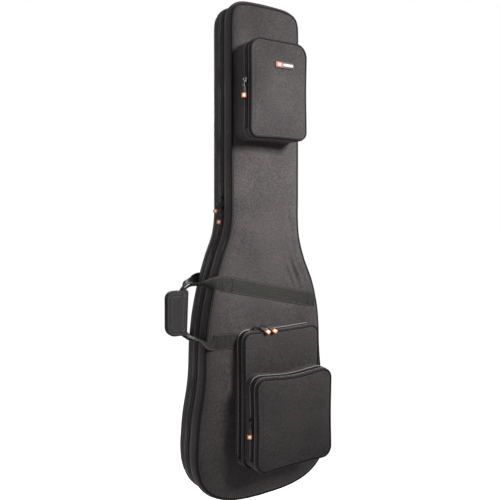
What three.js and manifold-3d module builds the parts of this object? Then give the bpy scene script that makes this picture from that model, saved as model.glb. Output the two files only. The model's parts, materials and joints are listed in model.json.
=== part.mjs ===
// A padded gig bag for an electric bass, standing neck up as it hangs from its haul loop.
// Two clamshell halves, each an outer cover over a foam tray and a plush lining, meet at a zip
// that runs round the whole bag except for a fabric hinge low on the right side.
// The front half carries a pocket on the neck and a large document pocket on the body, and the large
// pocket's panel carries a smaller one. Webbing from both halves makes the carrying handle on the left
// side, under a padded wrap, and two shoulder straps are sewn to the back.
// Millimetres. X runs to the bag's right seen from the front, Y to its back and Z up.
import * as THREE from "three";
import { mergeVertices } from "three/addons/utils/BufferGeometryUtils.js";
import Module from "manifold-3d";

const wasm = await Module();
wasm.setup();

// ---------------------------------------------------------------- driving dimensions

const LENGTH = 1240;
const SHELL_DEPTH = 48; // each half, from the parting plane to its face
const BODY_HALF = 196; // half the width where the body is widest
const NECK_HALF = 99;
const BOTTOM_HEIGHT = 145; // height of the widest place
const BOTTOM_POWER = 2.8; // the bottom is a superellipse of this power
const HEAD_RADIUS = 46;
const NECK_BASE = 700; // above this the neck's sides are straight
const WAIST = [[190, 215], [177, 290], [170, 360], [168, 420], [162, 475], [145, 545], [121, 605], [104, 655]];

const GAP = 0.4; // between pieces that lie on each other
const FABRIC = 2;
const FOAM = 15;
const LINING = 2;
const FOAM_INSET = FABRIC + GAP;
const LINING_INSET = FOAM_INSET + FOAM + GAP;
const INNER_FACE = SHELL_DEPTH - LINING_INSET - LINING;
const EDGE_CHAMFER = 5;
const PIPING_RADIUS = 3;

const TAPE_WIDTH = 11; // one side of a zip
const TAPE_THICK = 1.2;
const COIL_WIDTH = 2.5;
const COIL_THICK = 2.6;
const HINGE_LOW = 70; // the fabric hinge on the right side, between these heights
const HINGE_HIGH = 270;
const MAIN_SLIDERS = { upper: 756, lower: 731 }; // heights on the left side of the neck

// Each pocket: middle, width, lowest and highest edge, corner radii, depth, and its zip's distance from its back.
const UPPER_POCKET = { x: -8, width: 160, low: 897, high: 1133, top: 32, bottom: 13, depth: 65, zip: 48 };
const LARGE_POCKET = { x: 20, width: 224, low: 99, high: 430, top: 24, bottom: 12, depth: 43, zip: 25 };
const SMALL_POCKET = { x: 20, width: 218, low: 106, high: 330, top: 26, bottom: 12, depth: 52, zip: 33 };
const PANEL = 3; // thickness of a pocket's front panel
const BADGE = { x: 6, width: 55, low: 1065, high: 1083, top: 1.5, bottom: 1.5, thick: 1.2 };

const WEBBING = 1.8;
const HANDLE_WIDTH = 38; // webbing of the carrying handle
const HANDLE_HIGH = 547; // heights where the handle leaves the bag's left side
const HANDLE_LOW = 408;
const CROSS_DROP = 59; // the upper webbing slants down by this much across the bag
const GRIP = { x: -226, width: 56, low: 424, high: 530, top: 10, bottom: 10, thick: 7 };
const BEND = 24; // radius of the webbing's turn into the grip

const STRAP_WIDTH = 62; // padded shoulder straps
const STRAP_THICK = 12;
const LACE_WIDTH = 25; // the webbing below them, and the haul loop
const YOKE = { x: 0, width: 150, low: 808, high: 884, top: 20, bottom: 6, thick: 4 };

const HAUL_HEIGHT = 1160; // middle of the haul loop, which the bag hangs from
const HAUL_HALF = 42;
const HAUL_STAND = 28; // the loop's middle stands this far off the back
const ORIGIN = [0, SHELL_DEPTH + 22, HAUL_HEIGHT]; // inside the haul loop

const CRADLE = { x: 0, width: 110, low: 840, high: 890, top: 8, bottom: 8, thick: 15 };
const END_PAD = { x: 0, width: 160, low: 26, high: 50, top: 4, bottom: 4, thick: 24 };
const NECK_STRAP = { height: 930, half: 72, width: 32 };

const SLIDER_LENGTH = 11;
const SLIDER_HALF = 5;
const SLIDER_LOW = GAP + TAPE_THICK + GAP; // the flanges' feet, above the wall
const SLIDER_ROOF = GAP + COIL_THICK + GAP;
const SLIDER_TOP = SLIDER_ROOF + 2.2;
const PIVOT = SLIDER_TOP + 1.9; // height of the pull's pivot above the wall
const PULL_LENGTH = 41;

// ---------------------------------------------------------------- materials

const paint = (color, roughness, metalness = 0) => () =>
  new THREE.MeshStandardMaterial({ color, roughness, metalness });
const cover = paint(0x3b3839, 0.85);
const foam = paint(0x6a6a70, 0.95);
const lining = paint(0x2a2a2d, 1);
const trim = paint(0x141414, 0.6);
const tape = paint(0x1c1b1d, 0.9);
const webbing = paint(0x252624, 0.8);
const metal = paint(0x2b2b2d, 0.35, 0.9);
const rubber = paint(0x161616, 0.6);
const plastic = paint(0x1a1a1a, 0.45);
const badge = paint(0xd9d4cc, 0.5);

// ---------------------------------------------------------------- solids from rings

const vec = (x, y, z) => new THREE.Vector3(x, y, z);

function signedVolume(position, index) {
  const [a, b, c] = [vec(), vec(), vec()];
  let volume = 0;
  for (let i = 0; i < index.length; i += 3) {
    a.fromArray(position, 3 * index[i]);
    b.fromArray(position, 3 * index[i + 1]);
    c.fromArray(position, 3 * index[i + 2]);
    volume += a.dot(b.cross(c)) / 6;
  }
  return volume;
}

// Triangles of a flat ring, as indices into it, turning the same way as the ring.
function capTriangles(ring) {
  const normal = vec(0, 0, 0);
  ring.forEach((p, i) => normal.add(p.clone().cross(ring[(i + 1) % ring.length])));
  normal.normalize();
  const u = ring[1].clone().sub(ring[0]).normalize();
  const v = normal.clone().cross(u);
  const flat = ring.map((p) => new THREE.Vector2(p.dot(u), p.dot(v)));
  return THREE.ShapeUtils.triangulateShape(flat, []).map(([a, b, c]) =>
    THREE.ShapeUtils.area([flat[a], flat[b], flat[c]]) > 0 ? [a, b, c] : [a, c, b],
  );
}

// One closed surface through rings of equal length. A loop joins the last ring to the first,
// and otherwise both ends are capped.
function loft(rings, loop = false) {
  const n = rings[0].length;
  const position = rings.flat().flatMap((p) => p.toArray());
  const index = [];
  const spans = loop ? rings.length : rings.length - 1;
  for (let i = 0; i < spans; i++) {
    const a = i * n;
    const b = ((i + 1) % rings.length) * n;
    for (let j = 0; j < n; j++) {
      const k = (j + 1) % n;
      index.push(a + j, a + k, b + k, a + j, b + k, b + j);
    }
  }
  if (!loop) {
    const end = (rings.length - 1) * n;
    for (const [a, b, c] of capTriangles(rings[0])) index.push(a, c, b);
    for (const [a, b, c] of capTriangles(rings.at(-1))) index.push(end + a, end + b, end + c);
  }
  if (signedVolume(position, index) < 0) index.reverse();
  const geometry = new THREE.BufferGeometry();
  geometry.setAttribute("position", new THREE.Float32BufferAttribute(position, 3));
  geometry.setIndex(index);
  return geometry;
}

// A section swept through stations, each a point with the axes that the section's two numbers run along.
const sweep = (stations, section, loop = false) =>
  loft(
    stations.map(({ at, u, v }) =>
      section.map(([a, b]) => at.clone().addScaledVector(u, a).addScaledVector(v, b)),
    ),
    loop,
  );

// A flat outline moved inwards by a distance, corner by corner. Outlines turn anticlockwise seen from the front.
function inset(outline, distance) {
  return outline.map((p, i) => {
    const before = p.clone().sub(outline.at(i - 1)).normalize();
    const after = outline[(i + 1) % outline.length].clone().sub(p).normalize();
    const sum = new THREE.Vector2(before.y + after.y, -before.x - after.x);
    return p.clone().addScaledVector(sum, -distance / (1 + before.dot(after)));
  });
}

const ringAt = (outline, y) => outline.map((p) => vec(p.x, y, p.y));

// A shell open towards the parting plane, or a pocket half open towards its zip.
function tray(outline, { wall, floor, face, rim, chamfer }) {
  const inwards = Math.sign(rim - face);
  const inside = inset(outline, wall);
  return loft([
    ringAt(inside, face + inwards * floor),
    ringAt(inside, rim),
    ringAt(outline, rim),
    ringAt(outline, face + inwards * chamfer),
    ringAt(inset(outline, chamfer), face),
  ]);
}

// Stations along an open run of outline points, with u pointing outwards and v along Y.
function along(points) {
  return points.map((p, i) => {
    const next = points[Math.min(i + 1, points.length - 1)];
    const last = points[Math.max(i - 1, 0)];
    const tangent = next.clone().sub(last).normalize();
    return { at: vec(p.x, 0, p.y), u: vec(tangent.y, 0, -tangent.x), v: vec(0, 1, 0) };
  });
}

const circle = (radius, sides) =>
  Array.from({ length: sides }, (_, i) => {
    const angle = ((i + 0.5) * 2 * Math.PI) / sides;
    return [radius * Math.cos(angle), radius * Math.sin(angle)];
  });

const rectangle = (a0, a1, b0, b1) => [[a0, b0], [a1, b0], [a1, b1], [a0, b1]];

// ---------------------------------------------------------------- joins and cuts

function solid(geometry) {
  const bare = geometry.clone();
  bare.deleteAttribute("normal");
  bare.deleteAttribute("uv");
  const merged = mergeVertices(bare, 1e-4);
  return new wasm.Manifold(
    new wasm.Mesh({
      numProp: 3,
      vertProperties: merged.attributes.position.array,
      triVerts: new Uint32Array(merged.index.array),
    }),
  );
}

function geometryOf(manifold) {
  const { vertProperties, triVerts } = manifold.getMesh();
  const geometry = new THREE.BufferGeometry();
  geometry.setAttribute("position", new THREE.BufferAttribute(vertProperties, 3));
  geometry.setIndex(new THREE.BufferAttribute(triVerts, 1));
  return geometry;
}

const box = (x0, x1, y0, y1, z0, z1) =>
  new THREE.BoxGeometry(x1 - x0, y1 - y0, z1 - z0).translate((x0 + x1) / 2, (y0 + y1) / 2, (z0 + z1) / 2);

const join = (...geometries) => geometryOf(geometries.map(solid).reduce((a, b) => a.add(b)));
const cut = (body, ...tools) => geometryOf(tools.map(solid).reduce((a, b) => a.subtract(b), solid(body)));

// ---------------------------------------------------------------- outlines

// The bag's outline from the bottom centre up the right side, over the head and down the left side.
function bagOutline() {
  const right = [];
  const steps = 8;
  for (let i = 1; i <= steps; i++) {
    const angle = (i * Math.PI) / 2 / steps;
    const x = BODY_HALF * Math.sin(angle) ** (2 / BOTTOM_POWER);
    const z = BOTTOM_HEIGHT * (1 - Math.max(Math.cos(angle), 0) ** (2 / BOTTOM_POWER));
    right.push(new THREE.Vector2(x, z));
  }
  const knots = [[BODY_HALF, BOTTOM_HEIGHT], ...WAIST, [NECK_HALF, NECK_BASE]];
  const side = new THREE.SplineCurve(knots.map(([x, z]) => new THREE.Vector2(x, z)));
  right.push(...side.getSpacedPoints(12).slice(1));
  const corner = new THREE.EllipseCurve(
    NECK_HALF - HEAD_RADIUS, LENGTH - HEAD_RADIUS, HEAD_RADIUS, HEAD_RADIUS, 0, Math.PI / 2,
  );
  right.push(...corner.getPoints(5));
  const left = right.map((p) => new THREE.Vector2(-p.x, p.y)).reverse();
  return [new THREE.Vector2(0, 0), ...right, ...left];
}

// A rounded rectangle with one radius for its top corners and one for its bottom corners.
function roundedOutline({ x, width, low, high, top, bottom }, steps = 3) {
  const shape = new THREE.Shape();
  const half = width / 2;
  shape.absarc(x + half - bottom, low + bottom, bottom, -Math.PI / 2, 0);
  shape.absarc(x + half - top, high - top, top, 0, Math.PI / 2);
  shape.absarc(x - half + top, high - top, top, Math.PI / 2, Math.PI);
  shape.absarc(x - half + bottom, low + bottom, bottom, Math.PI, 1.5 * Math.PI);
  return shape.getPoints(steps).filter((p, i, all) => p.distanceTo(all.at(i - 1)) > 0.01);
}

const outline = bagOutline();
const hingeRun = outline.filter((p) => p.x > 0 && p.y > HINGE_LOW && p.y < HINGE_HIGH);
const hingeEnd = outline.indexOf(hingeRun.at(-1)) + 1;
const zipRun = [...outline.slice(hingeEnd), ...outline.slice(0, outline.indexOf(hingeRun[0]))];

// ---------------------------------------------------------------- the assembly

const bag = new THREE.Group();

function add(name, geometry, look) {
  geometry.translate(-ORIGIN[0], -ORIGIN[1], -ORIGIN[2]);
  const mesh = new THREE.Mesh(geometry, look());
  mesh.name = name;
  bag.add(mesh);
}

// A flat pad between two planes, with the edge of its far face bevelled.
function pad(shape, near, far, bevel) {
  const back = Math.sign(near - far) * bevel;
  return loft([ringAt(shape, near), ringAt(shape, far + back), ringAt(inset(shape, bevel), far)]);
}

// The piping round a face's edge.
function piping(shape, face) {
  const n = shape.length;
  const stations = shape.map((p, i) => {
    const tangent = shape[(i + 1) % n].clone().sub(shape.at(i - 1)).normalize();
    return { at: vec(p.x, face, p.y), u: vec(tangent.y, 0, -tangent.x), v: vec(0, 1, 0) };
  });
  return sweep(stations, circle(PIPING_RADIUS, 5), true);
}

// One side of a zip: a flat tape on the wall with its row of coils along the zip's plane.
function zipSide(run, plane, side) {
  const rise = GAP + TAPE_THICK;
  const coil = GAP + COIL_THICK;
  const section = [
    [GAP, GAP], [coil, GAP], [coil, COIL_WIDTH], [rise, COIL_WIDTH], [rise, TAPE_WIDTH], [GAP, TAPE_WIDTH],
  ];
  return sweep(along(run), section.map(([out, y]) => [out, plane + side * y]));
}

// ---------------------------------------------------------------- the two halves

for (const [half, side] of [["front", -1], ["back", 1]]) {
  const face = side * SHELL_DEPTH;
  const shell = (depth, wall) =>
    tray(inset(outline, depth), {
      wall, floor: wall, face: face - side * depth, rim: side * GAP, chamfer: EDGE_CHAMFER,
    });
  add(`${half}_cover`, shell(0, FABRIC), cover);
  add(`${half}_foam`, shell(FOAM_INSET, FOAM), foam);
  add(`${half}_lining`, shell(LINING_INSET, LINING), lining);
  add(`${half}_piping`, piping(outline, face + side * GAP), trim);
  add(`${half}_zip_tape`, zipSide(zipRun, 0, side), tape);
  const strip = rectangle(GAP, GAP + TAPE_THICK, side * GAP, side * TAPE_WIDTH);
  add(`${half}_hinge_gusset`, sweep(along(hingeRun), strip), cover);
}

// ---------------------------------------------------------------- pockets

// A pocket whose back lies on the plane at seat. The panel's half of its gusset meets the fixed half at the
// zip, and the two stay joined along the bottom, where the panel folds.
function addPocket(name, pocket, seat) {
  const shape = roundedOutline(pocket);
  const plane = seat - pocket.zip;
  const face = seat - pocket.depth;
  const fixed = { wall: FABRIC, floor: FABRIC, face: seat - GAP, rim: plane + GAP, chamfer: 0.5 };
  add(`${name}_gusset`, tray(shape, fixed), cover);
  const folding = { wall: FABRIC, floor: PANEL, face, rim: plane - GAP, chamfer: EDGE_CHAMFER };
  add(`${name}_panel`, tray(shape, folding), cover);
  const run = shape.filter((p) => p.y > pocket.low + pocket.bottom - 0.01);
  add(`${name}_zip_inner`, zipSide(run, plane, 1), tape);
  add(`${name}_zip_outer`, zipSide(run, plane, -1), tape);
  add(`${name}_piping`, piping(shape, face - GAP), trim);
}

const LARGE_FACE = -SHELL_DEPTH - LARGE_POCKET.depth;
addPocket("upper_pocket", UPPER_POCKET, -SHELL_DEPTH);
addPocket("large_pocket", LARGE_POCKET, -SHELL_DEPTH);
addPocket("small_pocket", SMALL_POCKET, LARGE_FACE);

const badgeSeat = -SHELL_DEPTH - UPPER_POCKET.depth - GAP;
add("badge", pad(roundedOutline(BADGE, 1), badgeSeat, badgeSeat - BADGE.thick, 0.4), badge);

// ---------------------------------------------------------------- zip sliders and their pulls

// In a slider's own frame X runs along the zip, Y across it and Z off the wall.
function sliderGeometry() {
  const half = SLIDER_LENGTH / 2;
  const body = box(-half, half, -SLIDER_HALF, SLIDER_HALF, SLIDER_LOW, SLIDER_TOP);
  const channel = box(-half - 1, half + 1, -SLIDER_HALF + 1, SLIDER_HALF - 1, SLIDER_LOW - 1, SLIDER_ROOF);
  const bridge = box(-2.7, 2.7, -1.2, 1.2, SLIDER_TOP - 0.5, PIVOT + 2.4);
  const eye = box(-1.95, 1.95, -2, 2, PIVOT - 1.3, PIVOT + 1.3);
  return cut(join(cut(body, channel), bridge), eye);
}

// In a pull's own frame its pivot is the origin, and it hangs along X.
function pullGeometry() {
  const link = box(-0.8, 20, -3.9, 3.9, -0.8, 0.8);
  const window = box(0.8, 17, -2.4, 2.4, -2, 2);
  const tab = box(17.5, PULL_LENGTH, -4.8, 4.8, -1.5, 1.5);
  return join(cut(link, window), tab);
}

const placed = (geometry, x, z, origin) =>
  geometry.applyMatrix4(new THREE.Matrix4().makeBasis(x, z.clone().cross(x), z).setPosition(origin));

// A slider on the wall at a point, with its pull lying along a direction of the wall and
// lifted off it by an angle.
function addSlider(name, at, normal, hang, lift = 0) {
  const track = Math.abs(normal.z) > 0.5 ? vec(1, 0, 0) : vec(0, 0, 1);
  add(`${name}_slider`, placed(sliderGeometry(), track, normal, at), metal);
  const lying = hang.clone().multiplyScalar(Math.cos(lift)).addScaledVector(normal, Math.sin(lift));
  const off = normal.clone().multiplyScalar(Math.cos(lift)).addScaledVector(hang, -Math.sin(lift));
  const pivot = at.clone().addScaledVector(normal, PIVOT);
  add(`${name}_pull`, placed(pullGeometry(), lying, off, pivot), rubber);
}

const LEFT = vec(-1, 0, 0);
const TOP = vec(0, 0, 1);
const DOWN = vec(0, 0, -1);
const leftOf = ({ x, width }) => x - width / 2;
const largeZip = -SHELL_DEPTH - LARGE_POCKET.zip;
const radians = THREE.MathUtils.degToRad;
const pastLower = DOWN.clone().applyAxisAngle(LEFT, radians(-22)); // the upper pull hangs past the lower slider
const pastRight = vec(1, 0, 0).applyAxisAngle(TOP, radians(-27)); // the left pull lies past the right slider

addSlider("main_upper", vec(-NECK_HALF, 0, MAIN_SLIDERS.upper), LEFT, pastLower, radians(10));
addSlider("main_lower", vec(-NECK_HALF, 0, MAIN_SLIDERS.lower), LEFT, DOWN);
addSlider("upper_pocket", vec(leftOf(UPPER_POCKET), -SHELL_DEPTH - UPPER_POCKET.zip, 1032), LEFT, DOWN);
addSlider("large_left", vec(-50, largeZip, LARGE_POCKET.high), TOP, pastRight);
addSlider("large_right", vec(-30, largeZip, LARGE_POCKET.high), TOP, vec(1, 0, 0));
addSlider("small_pocket", vec(leftOf(SMALL_POCKET), LARGE_FACE - SMALL_POCKET.zip, 229), LEFT, DOWN);

// ---------------------------------------------------------------- webbing

// A flat strap through points, each with the direction of its width there.
function strap(rows, width, thick = WEBBING) {
  const stations = rows.map(({ at, across }, i) => {
    const next = rows[Math.min(i + 1, rows.length - 1)].at;
    const tangent = next.clone().sub(rows[Math.max(i - 1, 0)].at).normalize();
    const u = across.clone().addScaledVector(tangent, -across.dot(tangent)).normalize();
    return { at, u, v: tangent.clone().cross(u) };
  });
  return sweep(stations, rectangle(-width / 2, width / 2, -thick / 2, thick / 2));
}

const rowsAt = (across, ...points) => points.map((p) => ({ at: vec(...p), across }));

const LIE = SHELL_DEPTH + GAP + WEBBING / 2; // webbing lying on a face
const OVER = SHELL_DEPTH + GAP + PIPING_RADIUS + GAP + WEBBING / 2; // webbing crossing the piping

// The handle's webbing on one half: across the face at the top, and a short run below it that the
// large pocket covers on the front.
function addHandleWebbing(half, side, stubEnd) {
  const level = (x) => HANDLE_HIGH - CROSS_DROP * THREE.MathUtils.clamp((x + 126) / 270, 0, 1);
  const upper = [[-158, OVER], [-126, OVER], [-112, LIE], [143, LIE]].map(([x, y]) => [x, side * y, level(x)]);
  add(`${half}_handle_strap`, strap(rowsAt(TOP, ...upper), HANDLE_WIDTH), webbing);
  const lower = [[-176, OVER], [-158, OVER], [-148, LIE], [stubEnd, LIE]].map(([x, y]) => [x, side * y, HANDLE_LOW]);
  add(`${half}_handle_stub`, strap(rowsAt(TOP, ...lower), HANDLE_WIDTH), webbing);
}

// The handle's free webbing on one half: out from the face, turned into the grip, down through it and back.
function addHandleLoop(half, side) {
  const inGrip = GAP + WEBBING / 2;
  const quarter = (centre, from) =>
    [0, 1, 2, 3, 4].map((i) => {
      const angle = from + (i * Math.PI) / 8;
      const u = vec(Math.cos(angle), 0, Math.sin(angle));
      const turned = Math.abs(Math.cos(angle));
      const y = side * THREE.MathUtils.lerp(40, inGrip, turned ** 1.5);
      return { at: vec(GRIP.x + BEND, y, centre).addScaledVector(u, BEND), across: u };
    });
  const rows = [
    ...rowsAt(TOP, [-160, side * OVER, HANDLE_HIGH], [-178, side * (OVER - 3), HANDLE_HIGH]),
    ...quarter(GRIP.high + 1.5, Math.PI / 2),
    ...quarter(GRIP.low - 1.5, Math.PI),
    ...rowsAt(DOWN, [-190, side * (OVER - 5), HANDLE_LOW], [-178, side * OVER, HANDLE_LOW]),
  ];
  add(`${half}_handle_loop`, strap(rows, HANDLE_WIDTH), webbing);
  const near = side * (inGrip + WEBBING / 2 + GAP);
  add(`${half}_grip`, pad(roundedOutline(GRIP, 2), near, near + side * GRIP.thick, 2), cover);
}

addHandleWebbing("front", -1, leftOf(LARGE_POCKET) - GAP);
addHandleWebbing("back", 1, 150);
addHandleLoop("front", -1);
addHandleLoop("back", 1);

const haul = [
  [-HAUL_HALF, LIE], [-HAUL_HALF + 12, LIE], [-22, LIE + 14], [-11, SHELL_DEPTH + HAUL_STAND],
  [11, SHELL_DEPTH + HAUL_STAND], [22, LIE + 14], [HAUL_HALF - 12, LIE], [HAUL_HALF, LIE],
].map(([x, y]) => [x, y, HAUL_HEIGHT]);
add("haul_loop", strap(rowsAt(TOP, ...haul), LACE_WIDTH), webbing);

// ---------------------------------------------------------------- shoulder straps

const ACROSS = vec(1, 0, 0);
const PADDED = [[34, 58, 806], [36, 70, 770], [42, 88, 690], [52, 92, 600], [62, 84, 510], [70, 66, 430]];
const LACE = [[71, 65, 392], [78, 65, 358], [100, 58, 290], [112, LIE, 245], [122, LIE, 205]];

for (const [name, side] of [["left", -1], ["right", 1]]) {
  const mirrored = (rows) => rowsAt(ACROSS, ...rows.map(([x, y, z]) => [side * x, y, z]));
  add(`shoulder_strap_${name}`, strap(mirrored(PADDED), STRAP_WIDTH, STRAP_THICK), cover);
  add(`strap_webbing_${name}`, strap(mirrored(LACE), LACE_WIDTH), webbing);
  const x = side * 70.5;
  const frame = box(x - 21, x + 21, 62.5, 67.5, 399, 427);
  const slots = [[402, 408], [418, 424]].map(([z0, z1]) => box(x - 15, x + 15, 60, 70, z0, z1));
  add(`strap_adjuster_${name}`, cut(frame, ...slots), plastic);
}

const onBack = SHELL_DEPTH + GAP;
add("strap_yoke", pad(roundedOutline(YOKE), onBack, onBack + YOKE.thick, 1), cover);

// ---------------------------------------------------------------- inside the back half

const inside = INNER_FACE - GAP;
add("neck_cradle", pad(roundedOutline(CRADLE, 2), inside, inside - CRADLE.thick, 2), lining);
add("end_pad", pad(roundedOutline(END_PAD, 1), inside, inside - END_PAD.thick, 2), lining);
const bandEnds = [-1, 1].map((s) => [s * NECK_STRAP.half, inside - WEBBING / 2, NECK_STRAP.height]);
add("neck_strap", strap(rowsAt(TOP, ...bandEnds), NECK_STRAP.width), webbing);

export default bag;
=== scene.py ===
"""Padded bass gig bag: the looks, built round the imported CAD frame.

Lengths in this file are millimetres in the bag's own place: X to the right seen from the front, Y to the back
with 0 where the two halves meet, and Z up from the bag's lowest point. world() turns them into frame metres.
"""

import json
import math

import bpy
import numpy as np
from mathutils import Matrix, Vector

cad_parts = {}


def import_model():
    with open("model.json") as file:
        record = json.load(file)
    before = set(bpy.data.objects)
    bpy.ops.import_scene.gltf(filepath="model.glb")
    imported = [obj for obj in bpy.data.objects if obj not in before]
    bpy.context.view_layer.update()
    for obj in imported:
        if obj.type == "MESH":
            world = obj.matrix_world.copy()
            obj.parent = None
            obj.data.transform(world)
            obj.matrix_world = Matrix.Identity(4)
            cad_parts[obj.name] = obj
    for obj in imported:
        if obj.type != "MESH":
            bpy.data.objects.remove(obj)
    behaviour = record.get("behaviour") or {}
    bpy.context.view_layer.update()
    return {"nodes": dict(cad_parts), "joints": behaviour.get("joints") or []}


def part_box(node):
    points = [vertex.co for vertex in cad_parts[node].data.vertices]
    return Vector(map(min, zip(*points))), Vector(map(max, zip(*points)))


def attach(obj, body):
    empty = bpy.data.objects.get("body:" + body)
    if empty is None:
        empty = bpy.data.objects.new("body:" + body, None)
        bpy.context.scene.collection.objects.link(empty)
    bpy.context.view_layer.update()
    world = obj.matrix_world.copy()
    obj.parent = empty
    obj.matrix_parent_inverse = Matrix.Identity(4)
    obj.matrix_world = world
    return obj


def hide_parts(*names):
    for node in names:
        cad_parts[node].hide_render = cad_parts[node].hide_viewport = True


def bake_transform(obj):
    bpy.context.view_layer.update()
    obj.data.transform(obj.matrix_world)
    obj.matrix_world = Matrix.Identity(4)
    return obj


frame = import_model()

# ---------------- places taken from the frame

GAP = 0.4  # the CAD leaves this much between the parting plane and each half
cover_low, cover_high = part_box("back_cover")
ORIGIN = np.array([(cover_low.x + cover_high.x) / 2, cover_low.y - GAP / 1000, cover_low.z])


def world(points):
    return np.asarray(points, float) * 0.001 + ORIGIN


def mm(node):
    """Lowest and highest corner of a CAD node, in this file's millimetres."""
    low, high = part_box(node)
    return (np.array(low) - ORIGIN) * 1000, (np.array(high) - ORIGIN) * 1000


LENGTH = mm("back_cover")[1][2]
BODY_HALF = mm("back_cover")[1][0]
FACE = mm("back_cover")[1][1]
NECK_HALF = 99

# ---------------- mesh helpers


def unit(v):
    v = np.asarray(v, float)
    return v / np.maximum(np.linalg.norm(v, axis=-1, keepdims=True), 1e-12)


def smooth(keys, per=6):
    """A Catmull-Rom curve through rows of numbers, with `per` steps between neighbours."""
    keys = np.asarray(keys, float)
    padded = np.vstack([2 * keys[0] - keys[1], keys, 2 * keys[-1] - keys[-2]])
    rows = []
    for i in range(1, len(padded) - 2):
        a, b, c, d = padded[i - 1 : i + 3]
        for t in np.arange(per) / per:
            rows.append(0.5 * (2 * b + (c - a) * t + (2 * a - 5 * b + 4 * c - d) * t**2
                               + (3 * b - a - 3 * c + d) * t**3))
    return np.array(rows + [keys[-1]])


def lengths(line):
    """How far along a line of points each of them is."""
    return np.concatenate([[0.0], np.cumsum(np.linalg.norm(np.diff(line, axis=0), axis=1))])


def closed_up(ring):
    """A ring with its first point once more at its end."""
    return np.vstack([ring, ring[:1]])


def read_off(at, run, rows):
    """Rows read off at the distances in at, where run is each row's distance along the line."""
    return np.stack([np.interp(at, run, rows[:, k]) for k in range(rows.shape[1])], axis=1)


def resample(points, n):
    """n points spaced evenly round a closed line of points."""
    line = closed_up(points)
    run = lengths(line)
    return read_off(np.linspace(0, run[-1], n + 1)[:-1], run, line)


def piece(name, verts, faces, body, material, corners_uv=None):
    mesh = bpy.data.meshes.new(name)
    mesh.from_pydata(world(verts).tolist(), [], faces)
    if corners_uv is not None:
        layer = mesh.uv_layers.new(name="UVMap")
        layer.data.foreach_set("uv", np.asarray(corners_uv, np.float32).ravel())
    mesh.materials.append(material)
    mesh.shade_smooth()
    obj = bpy.data.objects.new(name, mesh)
    bpy.context.scene.collection.objects.link(obj)
    if body:
        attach(obj, body)
    return obj


WELD_METRES = 0.00002


def modified(obj, kind, **settings):
    """Turns a modifier with these settings into the object's mesh."""
    modifier = obj.modifiers.new(kind.lower(), kind)
    for key, value in settings.items():
        setattr(modifier, key, value)
    graph = bpy.context.evaluated_depsgraph_get()
    mesh = bpy.data.meshes.new_from_object(obj.evaluated_get(graph))
    obj.modifiers.clear()
    obj.data = mesh


def loft(name, rings, body, material, closed=True, looped=False, caps=False, flip=False, thick=0,
         joined=False):
    """A surface through rings, each a row of points. closed joins a ring's ends, looped joins the last ring
    to the first, caps fills the first and last ring, joined welds points that meet, and thick is a thickness
    in mm on the side the normals point away from."""
    rings = np.asarray(rings, float)
    m, n = rings.shape[:2]
    rows = m if looped else m - 1
    steps = n if closed else n - 1
    i, j = np.meshgrid(np.arange(rows), np.arange(steps), indexing="ij")
    i, j = i.ravel(), j.ravel()
    quad = [(i, j), (i, j + 1), (i + 1, j + 1), (i + 1, j)]
    if flip:
        quad = quad[::-1]
    faces = np.stack([(a % m) * n + b % n for a, b in quad], axis=1).tolist()
    around = lengths(closed_up(rings[m // 2])) / 1000
    across = lengths(closed_up(rings[:, 0])) / 1000
    uv = np.stack([np.stack([around[b], across[a]], axis=1) for a, b in quad], axis=1)
    uv = uv.reshape(-1, 2).tolist()
    if caps:
        for first, turn in ((0, -1), ((m - 1) * n, 1)):
            cap = list(range(first, first + n))
            faces.append(cap[:: -turn if flip else turn])
            uv += [[0.0, 0.0]] * n
    obj = piece(name, rings.reshape(-1, 3), faces, body, material, uv)
    if joined:
        modified(obj, "WELD", merge_threshold=WELD_METRES)
    if thick:
        modified(obj, "SOLIDIFY", thickness=thick / 1000, offset=-1, use_even_offset=False)
    return obj


def merged(name, shapes, body, material):
    """One object from many (verts, faces) shapes."""
    verts, faces, base = [], [], 0
    for shape_verts, shape_faces in shapes:
        verts.append(shape_verts)
        faces += [[base + k for k in f] for f in shape_faces]
        base += len(shape_verts)
    return piece(name, np.vstack(verts), faces, body, material)


def band_faces(bands, m, n):
    """Faces between m rings of n points. With m bands the last ring joins the first."""
    return [[i * n + j, i * n + (j + 1) % n, (i + 1) % m * n + (j + 1) % n, (i + 1) % m * n + j]
            for i in range(bands) for j in range(n)]


BEAD_FACES = band_faces(3, 4, 4) + [[3, 2, 1, 0], [12, 13, 14, 15]]


def bead(at, along, across, off, length, width, height, taper=0.7):
    """A stitch or a zip tooth: a small bar, its ends and its top a little narrower than its middle."""
    verts = []
    for t, k in ((-0.5, taper), (-0.2, 1), (0.2, 1), (0.5, taper)):
        for a, b in ((-1, -1), (1, -1), (taper, 1), (-taper, 1)):
            verts.append(at + along * t * length + across * a * width / 2 * k + off * b * height / 2 * k)
    return np.array(verts), BEAD_FACES


def stitches(path, off, length=3.2, gap=1.3, width=0.75, rise=0.15, height=0.7):
    """Stitches along a path of points, standing off it along the directions in off."""
    path = np.asarray(path, float)
    run = lengths(path)
    count = int(run[-1] / (length + gap))
    at = (np.arange(count) + 0.5) * run[-1] / max(count, 1)
    outward = unit(read_off(at, run, np.broadcast_to(off, path.shape)))
    along = unit(read_off(at + 1.0, run, path) - read_off(at - 1.0, run, path))
    across = unit(np.cross(outward, along))
    return [bead(p + o * rise, a, c, o, length, width, height)
            for p, a, c, o in zip(read_off(at, run, path), along, across, outward)]


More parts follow.
